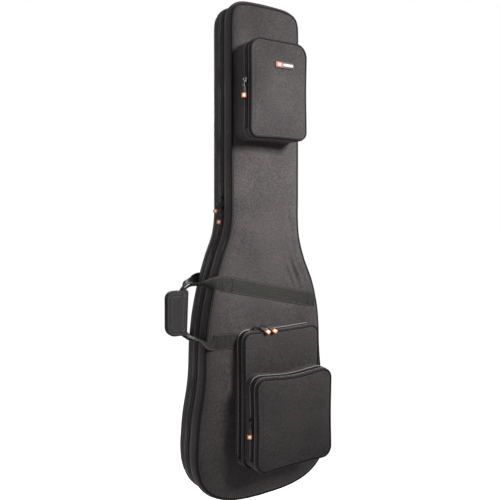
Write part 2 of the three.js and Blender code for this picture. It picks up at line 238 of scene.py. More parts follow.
def tube(path, radius, sides, closed=False):
    """Rings of a round cord along a path."""
    path = np.asarray(path, float)
    if closed:
        tangent = unit(np.roll(path, -1, axis=0) - np.roll(path, 1, axis=0))
    else:
        tangent = unit(np.gradient(path, axis=0))
    u = unit(np.cross(tangent, [0.0, 1.0, 0.02]))
    v = np.cross(tangent, u)
    angle = np.arange(sides) * 2 * math.pi / sides
    ring = np.cos(angle)[None, :, None] * u[:, None, :] + np.sin(angle)[None, :, None] * v[:, None, :]
    return path[:, None, :] + radius * ring


# ---------------- materials


def nodes_of(name, roughness, **sockets):
    material = bpy.data.materials.new(name)
    material.use_nodes = True
    tree = material.node_tree
    shader = tree.nodes["Principled BSDF"]
    shader.inputs["Roughness"].default_value = roughness
    for key, value in sockets.items():
        shader.inputs[key.replace("_", " ")].default_value = value
    return material, tree, shader


def node(tree, kind, inputs=(), **props):
    made = tree.nodes.new(kind)
    for key, value in props.items():
        setattr(made, key, value)
    for key, value in dict(inputs).items():
        if isinstance(value, bpy.types.NodeSocket):
            tree.links.new(value, made.inputs[key])
        else:
            made.inputs[key].default_value = value
    return made


def maths(tree, operation, a, b=0.0):
    return node(tree, "ShaderNodeMath", {0: a, 1: b}, operation=operation).outputs[0]


def mixed(tree, factor, a, b):
    """A colour between two others."""
    inputs = {"Factor": factor, 6: (*a, 1), 7: (*b, 1)}
    return node(tree, "ShaderNodeMix", inputs, data_type="RGBA").outputs[2]


def noise(tree, where, scale, detail):
    inputs = {"Vector": where.outputs["Object"], "Scale": scale, "Detail": detail}
    return node(tree, "ShaderNodeTexNoise", inputs).outputs[0]


def ranged(tree, value, low, high, start=0.0, stop=1.0):
    """A value that runs from start to stop, carried over to run from low to high."""
    inputs = {"Value": value, "From Min": start, "From Max": stop, "To Min": low, "To Max": high}
    return node(tree, "ShaderNodeMapRange", inputs).outputs[0]


def wired(tree, shader, color, roughness, height, strength, distance):
    """Joins a material's colour, roughness and raised pattern to its shader."""
    raised = node(tree, "ShaderNodeBump", {"Height": height, "Strength": strength, "Distance": distance})
    for value, socket in ((color, "Base Color"), (roughness, "Roughness"), (raised.outputs[0], "Normal")):
        tree.links.new(value, shader.inputs[socket])


def cloth_material(name, color, per_metre=420, coords="face", mottle=0.17, rough=0.86, sheen=0.02, bump=0.5,
                   rib=False, fleck=0.40):
    """Woven fabric. coords is face for panels in the XZ plane, or uv along strips. rib makes webbing."""
    material, tree, shader = nodes_of(name, rough, Sheen_Weight=sheen, Sheen_Roughness=0.5,
                                      Specular_IOR_Level=0.1)
    where = node(tree, "ShaderNodeTexCoord")
    parts = node(tree, "ShaderNodeSeparateXYZ", {0: where.outputs["Object" if coords == "face" else "UV"]})
    a = parts.outputs[0]
    b = parts.outputs[2 if coords == "face" else 1]
    turns = 2 * math.pi * per_metre
    if rib:
        zigzag = maths(tree, "ADD", a, maths(tree, "PINGPONG", b, 0.003))
        ribs = maths(tree, "SINE", maths(tree, "MULTIPLY", zigzag, turns))
        lines = maths(tree, "SINE", maths(tree, "MULTIPLY", b, turns * 0.8))
        both = maths(tree, "ADD", ribs, maths(tree, "MULTIPLY", lines, 0.6))
        weave = maths(tree, "MULTIPLY_ADD", both, 0.3)
    else:
        threads = [maths(tree, "SINE", maths(tree, "MULTIPLY", way, turns)) for way in (a, b)]
        weave = maths(tree, "MULTIPLY_ADD", maths(tree, "MULTIPLY", *threads), 0.5)
    fine = noise(tree, where, 250.0, 2.0)
    cloud = ranged(tree, noise(tree, where, 9.0, 3.0), 0.0, 1.0, 0.35, 0.65)
    base = mixed(tree, cloud, [c * (1 - mottle) for c in color], [c * (1 + mottle) for c in color])
    spot = ranged(tree, fine, 1 - fleck, 1 + fleck, 0.3, 0.7)
    shade = maths(tree, "MULTIPLY", spot, ranged(tree, weave, 0.82, 1.12))
    tinted = node(tree, "ShaderNodeVectorMath", {0: base, "Scale": shade}, operation="SCALE").outputs[0]
    height = maths(tree, "ADD", weave, maths(tree, "MULTIPLY", fine, 0.6))
    wired(tree, shader, tinted, ranged(tree, fine, rough - 0.08, rough + 0.08), height, bump, 0.0004)
    return material


def moulded(name, color, rough=0.45, metallic=0.0, vary=0.15, spec=0.4):
    """Moulded rubber or plastic, thread, or lacquered metal."""
    material, tree, shader = nodes_of(name, rough, Metallic=metallic, Specular_IOR_Level=spec)
    where = node(tree, "ShaderNodeTexCoord")
    wide = noise(tree, where, 35.0, 4.0)
    base = mixed(tree, wide, [c * (1 - vary) for c in color], [min(1, c * (1 + vary)) for c in color])
    uneven = ranged(tree, wide, rough - 0.1, rough + 0.12)
    wired(tree, shader, base, uneven, noise(tree, where, 900.0, 3.0), 0.15, 0.0002)
    return material


NYLON = (0.0146, 0.0126, 0.0128)


def nylon_painted_light_copy(name, share, **looks):
    """The bag's nylon made lighter or darker by a share: lit and shaded copies of one fabric, which is
    painted light and painted shade.
    """
    return cloth_material(name, tuple(share * c for c in NYLON), **looks)


nylon = cloth_material("nylon_panel", NYLON)
# Darker copies of the panel nylon for the pocket fronts: painted shade, where less light reaches them.
upper_nylon_painted_shade = nylon_painted_light_copy("upper_panel_painted_shade", 0.80)
large_nylon_painted_shade = nylon_painted_light_copy("large_panel_painted_shade", 0.82)
small_nylon_painted_shade = nylon_painted_light_copy("small_panel_painted_shade", 0.86)
# A lighter copy of the panel nylon for gussets, side walls, pocket sides and shoulder pads: painted light on
# surfaces that face away from the key light.
nylon_strip_painted_light = nylon_painted_light_copy("nylon_gusset_painted_light", 1.25, coords="uv")
nylon_dark = cloth_material("nylon_wrap", (0.0080, 0.0070, 0.0073), per_metre=380)
# Much lighter nylon for the thin raised folds: a painted highlight where they would catch the light.
nylon_fold_painted_highlight = cloth_material("nylon_fold_painted_highlight", (0.10, 0.09, 0.09), coords="uv", fleck=0.1)
tape_cloth = cloth_material("zip_tape", (0.010, 0.0092, 0.0096), 900, "uv", mottle=0.1, rough=0.8)
webbing = cloth_material("webbing", (0.0060, 0.0060, 0.0053), 330, "uv", mottle=0.15, bump=0.9, rib=True)
plush = cloth_material("plush_lining", (0.016, 0.016, 0.018), 700, rough=0.95, sheen=0.12, bump=0.8)
binding = cloth_material("edge_binding", (0.005, 0.005, 0.005), 800, "uv", mottle=0.1, rough=0.7)
cord_vinyl = moulded("piping_vinyl", (0.0035, 0.0033, 0.0035), rough=0.6, spec=0.06)
coil_nylon = moulded("zip_coil", (0.010, 0.010, 0.010), rough=0.5, spec=0.2)
thread_dark = moulded("dark_thread", (0.004, 0.004, 0.004), rough=0.8, spec=0.05)
thread = moulded("stitch_thread", (0.045, 0.04, 0.04), rough=0.7, spec=0.1)
lacquer = moulded("slider_lacquer", (0.022, 0.022, 0.023), rough=0.5, metallic=0.9)
steel = moulded("pull_link_metal", (0.05, 0.049, 0.048), rough=0.5, metallic=1.0, vary=0.1)
rubber = moulded("pull_rubber", (0.017, 0.017, 0.017), rough=0.6, spec=0.2)
orange = moulded("pull_tip_orange", (0.27, 0.075, 0.028), rough=0.6, spec=0.2)
patch_orange = moulded("patch_orange", (0.13, 0.036, 0.016), rough=0.7, spec=0.2)
white = moulded("pull_tip_white", (0.50, 0.46, 0.41), rough=0.55, vary=0.05)
patch_white = moulded("patch_white", (0.16, 0.15, 0.145), rough=0.6, vary=0.08)
buckle = moulded("buckle_plastic", (0.014, 0.014, 0.014), rough=0.42)

# ---------------- outlines


class Outline:
    """A closed line in the XZ plane, anticlockwise seen from the front, with its outward normals."""

    def __init__(self, points, n):
        self.points = resample(points, n)
        tangent = unit(np.roll(self.points, -1, axis=0) - np.roll(self.points, 1, axis=0))
        self.normals = np.stack([tangent[:, 1], -tangent[:, 0]], axis=1)

    def ring(self, inset, y):
        """The outline moved inwards, at depth y. Both may be one number or one for each point."""
        inset = np.broadcast_to(np.asarray(inset, float), len(self.points))
        xz = self.points - inset[:, None] * self.normals
        return np.stack([xz[:, 0], np.broadcast_to(y, len(xz)), xz[:, 1]], axis=1)

    def off(self):
        return np.stack([self.normals[:, 0], np.zeros(len(self.normals)), self.normals[:, 1]], axis=1)


def superquadrant(half, height, power, n):
    """A quarter of a superellipse from (0, height) to (half, 0)."""
    angle = np.linspace(0, math.pi / 2, n)
    across = half * np.sin(angle) ** (2 / power)
    up = height * np.clip(np.cos(angle), 0, 1) ** (2 / power)
    return np.stack([across, up], axis=1)


def hump(x, at, wide):
    """A smooth bump of height 1 at a place."""
    return np.exp(-((x - at) / wide) ** 2)


FOOT = 145  # height at which the round bottom ends
HEAD = 1155  # height at which the round head begins
WAIST = [(196, FOOT), (190, 215), (177, 290), (170, 360), (168, 420), (162, 475), (145, 545), (121, 605),
         (104, 655), (99, 700), (99, 760)]


def bag_points():
    low = superquadrant(BODY_HALF, FOOT, 2.8, 80) * [1, -1] + [0, FOOT]
    side = smooth(WAIST, 10)[1:]
    neck = np.stack([np.full(30, NECK_HALF), np.linspace(770, HEAD - 10, 30)], axis=1)
    head = superquadrant(NECK_HALF, LENGTH - HEAD, 4.6, 80)[::-1] + [0, HEAD]
    right = np.vstack([low, side, neck, head])
    left = right[::-1][1:-1] * [-1, 1]
    right[:, 0] -= 3.5 * hump(right[:, 1], 595, 55)
    left[:, 0] -= 8 * hump(left[:, 1], 618, 58) + 3 * hump(left[:, 1], 375, 45)
    return np.vstack([right, left])


bag = Outline(bag_points(), 560)


def arcs(corners, steps):
    """Quarter circles end to end, each given by its centre, its radius and its start in half turns."""
    points = []
    for cx, cy, r, start in corners:
        angle = (start + np.linspace(0, 0.5, steps)) * math.pi
        points.append(np.stack([cx + r * np.cos(angle), cy + r * np.sin(angle)], axis=1))
    return np.vstack(points)


def round_box(x0, y0, x1, y1, low, high, steps):
    """A rectangle with the radius low at its lower corners and high at its upper ones, anticlockwise."""
    return arcs([(x1 - low, y0 + low, low, -0.5), (x1 - high, y1 - high, high, 0),
                 (x0 + high, y1 - high, high, 0.5), (x0 + low, y0 + low, low, 1)], steps)


def rounded_points(low, high, top, bottom, pull=0.0, droop=0.0):
    """A rounded rectangle whose sides pull in a little between its corners, and whose top edge droops."""
    x0, z0, x1, z1 = low[0], low[2], high[0], high[2]
    line = resample(round_box(x0, z0, x1, z1, bottom, top, 14), 400)
    u = (line[:, 0] - x0) / (x1 - x0)
    v = (line[:, 1] - z0) / (z1 - z0)
    away = line - np.array([(x0 + x1) / 2, (z0 + z1) / 2])
    side = np.abs(away[:, 0]) / (x1 - x0) > np.abs(away[:, 1]) / (z1 - z0)
    draw = np.where(side, np.sin(math.pi * v), np.sin(math.pi * u)) ** 2 * pull
    line = line - np.stack([side * np.sign(away[:, 0]), ~side * np.sign(away[:, 1])], axis=1) * draw[:, None]
    line[:, 1] -= droop * np.sin(math.pi * u) ** 2 * np.clip(2 * v - 1, 0, 1)
    return line


def rings_along(outline, keys, per, side=1):
    """Rings of an outline along a smooth profile, whose keys are (inset, depth)."""
    return np.array([outline.ring(inset, side * y) for inset, y in smooth(keys, per)])


# ---------------- the padded faces

SEAM = 2 + 5 * np.clip(bag.normals[:, 1], 0, 1) ** 2 + 3 * np.clip(-bag.normals[:, 1], 0, 1) ** 2
SEAM_Y = FACE - 5
MIDDLE = (175, 1115)  # a face's rings close on a line between these heights
MIDDLE_STEP = 12
INSIDE_DEPTHS = (0, 1.2, 2.6, 4.5, 7, 10, 14, 19, 25)
seam_line = bag.points - SEAM[:, None] * bag.normals


def from_seam(x, z):
    """Distance of points from the seam that edges a face."""
    points = np.stack([np.ravel(x), np.ravel(z)], axis=1)
    best = np.full(len(points), 1e9)
    for start in range(0, len(seam_line), 80):
        part = seam_line[start : start + 80]
        best = np.minimum(best, np.linalg.norm(points[:, None] - part[None], axis=2).min(axis=1))
    return best.reshape(np.shape(x))


def strap_level(x):
    """Height of the middle of the webbing that slants across the face."""
    return 547 - 59 * np.clip((np.asarray(x) + 126) / 270, 0, 1.1)


def ridges(x, z, at, slope, spacing, wide, long, depth):
    """Drag wrinkles: parallel ridges round a place, fading out from it."""
    c, s = math.cos(math.radians(slope)), math.sin(math.radians(slope))
    across = (x - at[0]) * c + (z - at[1]) * s
    along = -(x - at[0]) * s + (z - at[1]) * c
    wave = np.cos(2 * math.pi * across / spacing + 0.8 * np.sin(along / 19))
    return depth * wave * np.exp(-(across / wide) ** 2 - (along / long) ** 2)


def face_height(x, z, side):
    """How far the padded face stands beyond the seam's plane."""
    x, z = np.asarray(x, float), np.asarray(z, float)
    d = from_seam(x, z)
    edge = 5 * (1 - np.exp(-d / 5))
    body = np.clip((760 - z) / 330, 0, 1)
    if side > 0:
        crown = (3 + 3 * body) * (1 - np.exp(-d / 15))
        return edge + crown + 0.5 * np.sin(x / 43 + 1) * np.sin(z / 71) * (1 - np.exp(-d / 30))
    crown = (4 + 4 * body) * (1 - np.exp(-d / 13))
    slow = 0.8 * np.sin(x / 37 + z / 95) + 0.6 * np.sin(x / 61 - z / 53 + 2) + 0.4 * np.sin(z / 31 + x / 23)
    folds = ridges(x, z, (92, 566), 19, 21, 27, 44, 3.2)
    folds += ridges(x, z, (84, 690), 4, 34, 20, 90, 2.4)
    folds += ridges(x, z, (-96, 350), 8, 30, 26, 120, 1.3)
    folds += ridges(x, z, (-62, 660), -24, 26, 22, 46, 1.1)
    folds += ridges(x, z, (30, 875), 80, 20, 16, 60, 0.8)
    pressed = -1.5 * np.exp(-((z - strap_level(x)) / 24) ** 4) * (z > 440)
    return edge + crown + (slow + folds + pressed) * (1 - np.exp(-d / 14))


def face_rings(side):
    """Rings from the seam inwards: a few that follow it, then more that close on the middle line."""
    rings = []
    for d in INSIDE_DEPTHS:
        rings.append(bag.points - (SEAM + d)[:, None] * bag.normals)
    middle = np.stack([np.zeros(len(bag.points)), np.clip(bag.points[:, 1], *MIDDLE)], axis=1)
    last = rings[-1]
    for t in np.linspace(0, 1, 36)[1:]:
        rings.append(last + (middle - last) * t)
    rings[-1][:, 1] = np.round(rings[-1][:, 1] / MIDDLE_STEP) * MIDDLE_STEP
    xz = np.array(rings)
    height = face_height(xz[..., 0], xz[..., 1], side)
    return np.stack([xz[..., 0], side * (SEAM_Y + height), xz[..., 1]], axis=2)


def on_face(points, side, lift):
    """Points (x, z) laid on a face, standing off it by lift."""
    points = np.asarray(points, float)
    y = side * (SEAM_Y + face_height(points[:, 0], points[:, 1], side) + lift)
    return np.stack([points[:, 0], y, points[:, 1]], axis=1)


# ---------------- zips

HALF = {-1: "front_half", 1: "back_half"}
WORD = {-1: "front", 1: "back"}
HINGE = (74, 266)  # heights of the fabric hinge on the right side
on_hinge = (bag.points[:, 0] > 0) & (bag.points[:, 1] > HINGE[0]) & (bag.points[:, 1] < HINGE[1])
hinge_index = np.where(on_hinge)[0]
zip_index = np.concatenate([np.arange(hinge_index[-1] + 1, len(bag.points)), np.arange(0, hinge_index[0])])
TAPE = [(0.6, 0.5), (0.15, 0.7), (0.1, 4), (0.2, 9), (0.6, 14)]  # inset, and distance from the zip's middle
PITCH = 2.6  # from one tooth to the next


def zip_row(outline, index, plane, side, phase):
    """The teeth of one side of a zip."""
    path = outline.ring(0, plane)[index]
    run = lengths(path)
    at = np.arange(1.0 + phase * PITCH, run[-1] - 1, PITCH)
    out = unit(read_off(at, run, outline.off()[index]))
    across = np.array([0.0, float(side), 0.0])
    shapes = []
    for p, o in zip(read_off(at, run, path), out):
        shapes.append(bead(p + across * 1.35 + o * 0.9, across, np.cross(o, across), o, 3.5, 1.25, 1.9, 0.65))
    return shapes


def zip_side(name, outline, index, plane, side, body, replaced, phase=0.0):
    """One side of a zip: tape and teeth."""
    rings = rings_along(outline, [(inset, plane + side * y) for inset, y in TAPE], 3)[:, index]
    tape = loft(f"{name}_tape", rings, body, tape_cloth, closed=False, flip=side > 0, thick=0.9)
    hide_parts(replaced)
    teeth = merged(f"{name}_teeth", zip_row(outline, index, plane, side, phase), body, coil_nylon)


# ---------------- edges that halves and pockets share


def edge_piping(name, line, radius, sides, body):
    cord = loft(f"{name}_edge_piping", tube(line, radius, sides, closed=True), body, cord_vinyl, looped=True)
    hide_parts(f"{name}_piping")


def rib(name, outline, inset, y, radius, body):
    """A thin fold of fabric that stands out round an outline, in much lighter nylon: a painted highlight
    along the fold.
    """
    fold = loft(name, tube(outline.ring(inset, y), radius, 6, closed=True), body, nylon_fold_painted_highlight, looped=True)


def sewn_ring(name, ring, off, body):
    """Stitches all round a ring."""
    merged(name, stitches(closed_up(ring), off), body, thread)


# ---------------- the two halves


def build_half(side):
    word, body = WORD[side], HALF[side]
    panel = loft(f"{word}_panel", face_rings(side), body, nylon, flip=side > 0, thick=1.6, joined=True)
    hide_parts(f"{word}_cover")

    run = lengths(bag.points)
    lumps = 0.5 * np.sin(run / 33.0) + 0.4 * np.sin(run / 13.7 + 1)
    # inset, share of the seam's own inset, and distance from the parting plane
    keys = [(3.2, 0, 9.6), (0.9, 0, 9.0), (-0.4, 0, 9.3), (-1.0, 0, 10.4), (-0.9, 0, 14), (-2.0, 0, 22),
            (-2.2, 0, 30), (-1.6, 0, 35), (-0.8, 0.1, 39), (-0.2, 0.6, 41.8), (0.2, 1, SEAM_Y)]
    rings = []
    for inset, seam_share, y in smooth(keys, 4):
        swell = lumps * math.sin(math.pi * min(max((y - 9) / 38, 0), 1))
        rings.append(bag.ring(inset + seam_share * SEAM - swell, side * y))
    gusset = loft(f"{word}_gusset", rings, body, nylon_strip_painted_light, flip=side < 0, thick=1.4)

    edge_piping(word, bag.ring(SEAM - 0.3, side * (SEAM_Y + 1.0)), 3.3, 10, body)
    rib(f"{word}_fold", bag, -1.1, side * 9.4, 1.1, body)
    rib(f"{word}_welt", bag, -1.9, side * 16.2, 1.1, body)
    zip_side(f"{word}_zip", bag, zip_index, 0, side, body, f"{word}_zip_tape", phase=0.5 if side > 0 else 0.0)

    sewn = []
    for inset, y in ((-1.35, 11.6), (-1.4, 13.8)):
        sewn += stitches(closed_up(bag.ring(inset, side * y)), closed_up(bag.off()))
    rows = bag.points - (SEAM + 3.4)[:, None] * bag.normals
    sewn += stitches(on_face(closed_up(rows), side, 0), [0, side, 0])
    merged(f"{word}_edge_stitching", sewn, body, thread)

    liner_keys = [(1.6, 2.4), (3.2, 2.0), (8, 1.7), (14, 1.9), (18.5, 3.0), (20.2, 7), (20.4, 14), (20.8, 20),
                  (22.5, 25.5), (26, 27.9), (29, 28.3)]
    rings = list(rings_along(bag, liner_keys, 3, side))
    last = rings[-1]
    heights = np.round(np.clip(last[:, 2], *MIDDLE) / MIDDLE_STEP) * MIDDLE_STEP
    middle = np.stack([0 * last[:, 0], last[:, 1], heights], axis=1)
    for t in np.linspace(0, 1, 14)[1:]:
        ring = last + (middle - last) * t
        ring[:, 1] -= side * 1.2 * math.sin(math.pi * min(t * 1.2, 1)) * np.sin(ring[:, 2] / 60) ** 2
        rings.append(ring)
    liner = loft(f"{word}_liner", rings, body, plush, flip=side > 0, thick=1.2, joined=True)
    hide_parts(f"{word}_lining", f"{word}_foam")

    rim_keys = ((0.9, 8.5), (0.8, 4.0), (0.9, 1.9), (2.0, 1.0), (5.0, 0.8), (6.2, 1.0))
    rim = loft(f"{word}_rim_binding", [bag.ring(i, side * y) for i, y in rim_keys], body, binding,
               flip=side < 0, thick=0.5)


build_half(-1)
build_half(1)


def hinge_strip():
    """The fabric that joins the halves low on the right side, over a run without a zip."""
    index = np.arange(hinge_index[0] - 2, hinge_index[-1] + 3)
    keys = [(-0.9, -14.5), (-1.4, -12), (-1.9, -6), (-2.2, 0), (-1.9, 6), (-1.4, 12), (-0.9, 14.5)]
    strip = loft("hinge_fabric", rings_along(bag, keys, 4)[:, index], None, nylon_strip_painted_light, closed=False,
                 flip=True, thick=1.2)
    sewn = []
    for y in (-12.5, 12.5):
        sewn += stitches(bag.ring(-1.75, y)[index], bag.off()[index])
    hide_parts("front_hinge_gusset", "back_hinge_gusset")
    seam = merged("hinge_stitching", sewn, None, thread)
    for obj in (strip, seam):
        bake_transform(obj)


hinge_strip()

# ---------------- pockets

# ---------------- pockets

SEAM_INSET = 2.4


def run_start(index, n):
    """Where a run of points round a closed outline of n points begins."""
    return index[np.argmax(np.diff(np.concatenate([[index[-1] - n], index])) > 1)]


def pocket(name, parent, crown, flare, pull, top, bottom, wider, droop, cloth):
    """A pocket: sides sewn to the parent, and a flap that folds down. crown is how far its face swells, flare
    how far its foot spreads, pull and droop how far its sides pull in and its top sags, top and bottom its
    corners' radii, and wider what it has on the right beyond its CAD node."""
    flap = f"{name}_flap"
    low, high = mm(f"{name}_gusset")
    seat, plane, face = high[1] + GAP, low[1] - GAP, mm(f"{name}_panel")[0][1]
    outline = Outline(rounded_points(low, high + np.array([wider, 0, 0]), top, bottom, pull, droop), 300)
    centre = (low + high) / 2
    half_wide, half_tall = (high[0] - low[0]) / 2, (high[2] - low[2]) / 2

    def towards_centre(ring, steps, bulge, sign):
        """Rings from a ring to a short middle line, swelling as a dome on the way."""
        reach = abs(half_tall - half_wide) * 0.6
        line = np.round(np.clip(ring[:, 2] - centre[2], -reach, reach) / 8) * 8 + centre[2]
        middle = np.stack([0 * line + centre[0], ring[:, 1], line], axis=1)
        half = np.abs(ring[:, [0, 2]] - centre[[0, 2]]).max(axis=0)
        made = []
        for t in np.linspace(0, 1, steps + 1)[1:]:
            step = ring + (middle - ring) * t
            x, z = step[:, 0] - centre[0], step[:, 2] - centre[2]
            dome = (1 - np.abs(x / half[0]) ** 3.2) * (1 - np.abs(z / half[1]) ** 3.2)
            soft = 0.8 * np.sin(x / 21 + z / 37 + centre[2]) + 0.5 * np.sin(x / 13 - z / 17)
            step[:, 1] += sign * (bulge * dome ** 0.8 + soft * dome)
            made.append(step)
        return made

    foot = seat - (8 if parent == "front_half" else 5)
    wall = [(9, foot + 2), (3, foot), (-flare * 0.6, foot + 1), (-flare, seat - 1), (-flare * 0.55, seat - 6),
            (-1.0, seat - 14), (-1.4, (seat + plane) / 2), (-1.0, plane + 13), (-1.0, plane + 10.4),
            (-0.4, plane + 9.2), (0.8, plane + 9.0), (3.0, plane + 9.6)]
    rings = rings_along(outline, wall, 4)
    floor = towards_centre(rings[0], 6, 0, 1)[::-1]
    gusset = loft(f"{name}_sides", [*floor, *rings], parent, nylon_strip_painted_light, thick=1.0, joined=True)
    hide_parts(f"{name}_gusset")

    wall = [(3.0, plane - 9.4), (0.8, plane - 8.9), (-0.4, plane - 9.1), (-0.9, plane - 10.2),
            (-0.8, plane - 12.5), (-0.6, face + 6), (0.3, face + 2.4), (1.2, face + 1),
            (SEAM_INSET, face + 0.6)]
    sides = loft(f"{name}_flap_sides", rings_along(outline, wall, 4), flap, nylon_strip_painted_light, thick=1.0)
    edge = [(SEAM_INSET + inset, face + y)
            for inset, y in ((0, 0.7), (1.2, -0.1), (3.0, -0.9), (5, -1.5), (7, -1.9))]
    rings = rings_along(outline, edge, 3)
    rings = [*rings, *towards_centre(rings[-1], 22, crown - 1.9, -1)]
    front = loft(f"{name}_front", rings, flap, cloth, thick=1.6, joined=True)
    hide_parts(f"{name}_panel")

    edge_piping(name, outline.ring(SEAM_INSET - 0.2, face - 0.3), 2.5, 8, flap)
    rib(f"{name}_sides_fold", outline, -0.9, plane + 9.7, 0.95, parent)
    rib(f"{name}_flap_fold", outline, -0.7, plane - 9.6, 0.95, flap)

    n = len(outline.points)
    on_zip = np.where(outline.points[:, 1] > low[2] + bottom)[0]
    index = (run_start(on_zip, n) + np.arange(len(on_zip))) % n
    zip_side(f"{name}_zip_inner", outline, index, plane, 1, parent, f"{name}_zip_inner")
    zip_side(f"{name}_zip_outer", outline, index, plane, -1, flap, f"{name}_zip_outer", phase=0.5)

    off = closed_up(outline.off())
    sewn_ring(f"{name}_sides_stitching", outline.ring(-1.35, plane + 11.8), off, parent)
    sewn_ring(f"{name}_flap_stitching", outline.ring(-1.15, plane - 11.2), off, flap)
    sewn_ring(f"{name}_front_stitching", outline.ring(SEAM_INSET + 3.2, face - 0.85), [0, -1, 0], flap)

    below = np.setdiff1d(np.arange(n), index)
    run = (run_start(below, n) - 1 + np.arange(len(below) + 2)) % n
    keys = [(-0.5, plane + 14), (-1.5, plane + 10), (-1.9, plane + 4), (-2.0, plane), (-1.7, plane - 5),
            (-1.2, plane - 10), (-0.3, plane - 12.5)]
    strip = loft(f"{name}_fold", rings_along(outline, keys, 3)[:, run], None, nylon_strip_painted_light, closed=False,
                 thick=1.0)
    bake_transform(strip)


pocket("upper_pocket", "front_half", crown=4.5, flare=2.0, pull=1.6, top=32, bottom=20, wider=4, droop=-1.5,
       cloth=upper_nylon_painted_shade)
pocket("large_pocket", "front_half", crown=5.5, flare=5.0, pull=1.0, top=24, bottom=22, wider=1, droop=2,
       cloth=large_nylon_painted_shade)
pocket("small_pocket", "large_pocket_flap", crown=7.5, flare=2.0, pull=2.0, top=26, bottom=27, wider=4,
       droop=5, cloth=small_nylon_painted_shade)

# ---------------- flat straps

STRAP_THICK = 1.8
ALONG_X, ALONG_Z = (1.0, 0, 0), (0, 0, 1.0)
HALF_SECTION = [(-0.5, 0), (-0.488, -0.75), (-0.465, -1), (-0.25, -1), (0, -1), (0.25, -1), (0.465, -1),
                (0.488, -0.75)]
SECTION = HALF_SECTION + [(-a, -b) for a, b in HALF_SECTION]


def strap_axes(path, across):
    """The width direction and the face direction at each point of a strap's path."""
    tangent = unit(np.gradient(path, axis=0))
    u = unit(across - (across * tangent).sum(axis=1, keepdims=True) * tangent)
    return u, np.cross(tangent, u)


def ribbon_piece(name, path, across, width, body):
    """A flat strap with rounded edges along a path. across is the direction of its width."""
    path = np.asarray(path, float)
    u, v = strap_axes(path, np.broadcast_to(np.asarray(across, float), path.shape))
    width = np.broadcast_to(width, len(path))
    rings = np.stack([path + u * (a * width)[:, None] + v * b * STRAP_THICK / 2 for a, b in SECTION], axis=1)
    obj = loft(name, rings, body, webbing, caps=True)
    run = lengths(path) / 1000
    n = len(SECTION)
    sections = np.linspace(0, 0.08, n + 1)
    uv = np.zeros((len(obj.data.loops), 2), np.float32)
    for polygon in obj.data.polygons:
        wraps = len(polygon.vertices) == 4 and {k % n for k in polygon.vertices} == {0, n - 1}
        for corner in polygon.loop_indices:
            k = obj.data.loops[corner].vertex_index
            step = n if wraps and k % n == 0 else k % n
            uv[corner] = (run[k // n], sections[step])
    obj.data.uv_layers["UVMap"].data.foreach_set("uv", uv.ravel())
    return obj, u, v


def edge_stitches(path, u, outward, width, inset=2.6, lift=STRAP_THICK / 2):
    """A row of stitches inside each edge of a strap, on the side that outward points to."""
    half = np.broadcast_to(width, len(path))[:, None] / 2 - inset
    return [stitch for s in (-1, 1) for stitch in stitches(path + u * s * half + outward * lift, outward)]


def box_stitch(a, b, c, d, off):
    """A sewn box with a cross in it."""
    sewn = []
    for p, q in ((a, b), (b, c), (c, d), (d, a), (a, c), (b, d)):
        sewn += stitches(np.linspace(p, q, 12), off, 2.6, 1.0)
    return sewn


# ---------------- the carrying handle

HANDLE_WIDTH = 38
STUB_LEVEL = 408  # height of the middle of the low webbing
grip_low, grip_high = mm("front_grip")
GRIP_X = (grip_low[0] + grip_high[0]) / 2
FREE_RUN = [  # place, whether it sinks on the back half, direction of the width there, and share of the width
    (-146, 48, 547, 0, 0.1, 0.25, 0.9, 1),
    (-157, 42, 547, 1, 0.35, 0.6, 0.7, 0.95),
    (-172, 34, 547, 1, 0.45, 0.78, 0.32, 0.85),
    (-186, 22, 546, 1, 0.5, 0.82, 0.26, 0.75),
    (-198, 11, 542, 1, 0.6, 0.8, 0.18, 0.6),
    (-207, 5.4, 534, 0, 0.8, 0.5, 0, 0.42),
    (-213, 2.7, 523, 0, 1, 0.1, 0, 0.5),
    (-222, 1.5, 505, 0, 1, 0, 0, 0.9),
    (GRIP_X, 1.5, 477, 0, 1, 0, 0, 1),
    (-222, 1.5, 450, 0, 1, 0, 0, 0.8),
    (-212, 2.7, 434, 0, 1, 0.1, 0, 0.45),
    (-206, 5.8, 424.5, 0, 0.8, 0.6, 0, 0.4),
    (-198, 12, 419.5, 0, 0.56, 0.83, 0, 0.6),
    (-187, 23, 415.5, 0, 0.52, 0.85, 0, 0.85),
    (-177, 34, 412.5, 0, 0.5, 0.85, 0, 1),
    (-169, 44, 410, 0, 0.45, 0.85, -0.2, 1),
    (-161, 51.5, 408.3, 0, 0.15, 0.4, -0.7, 1),
]


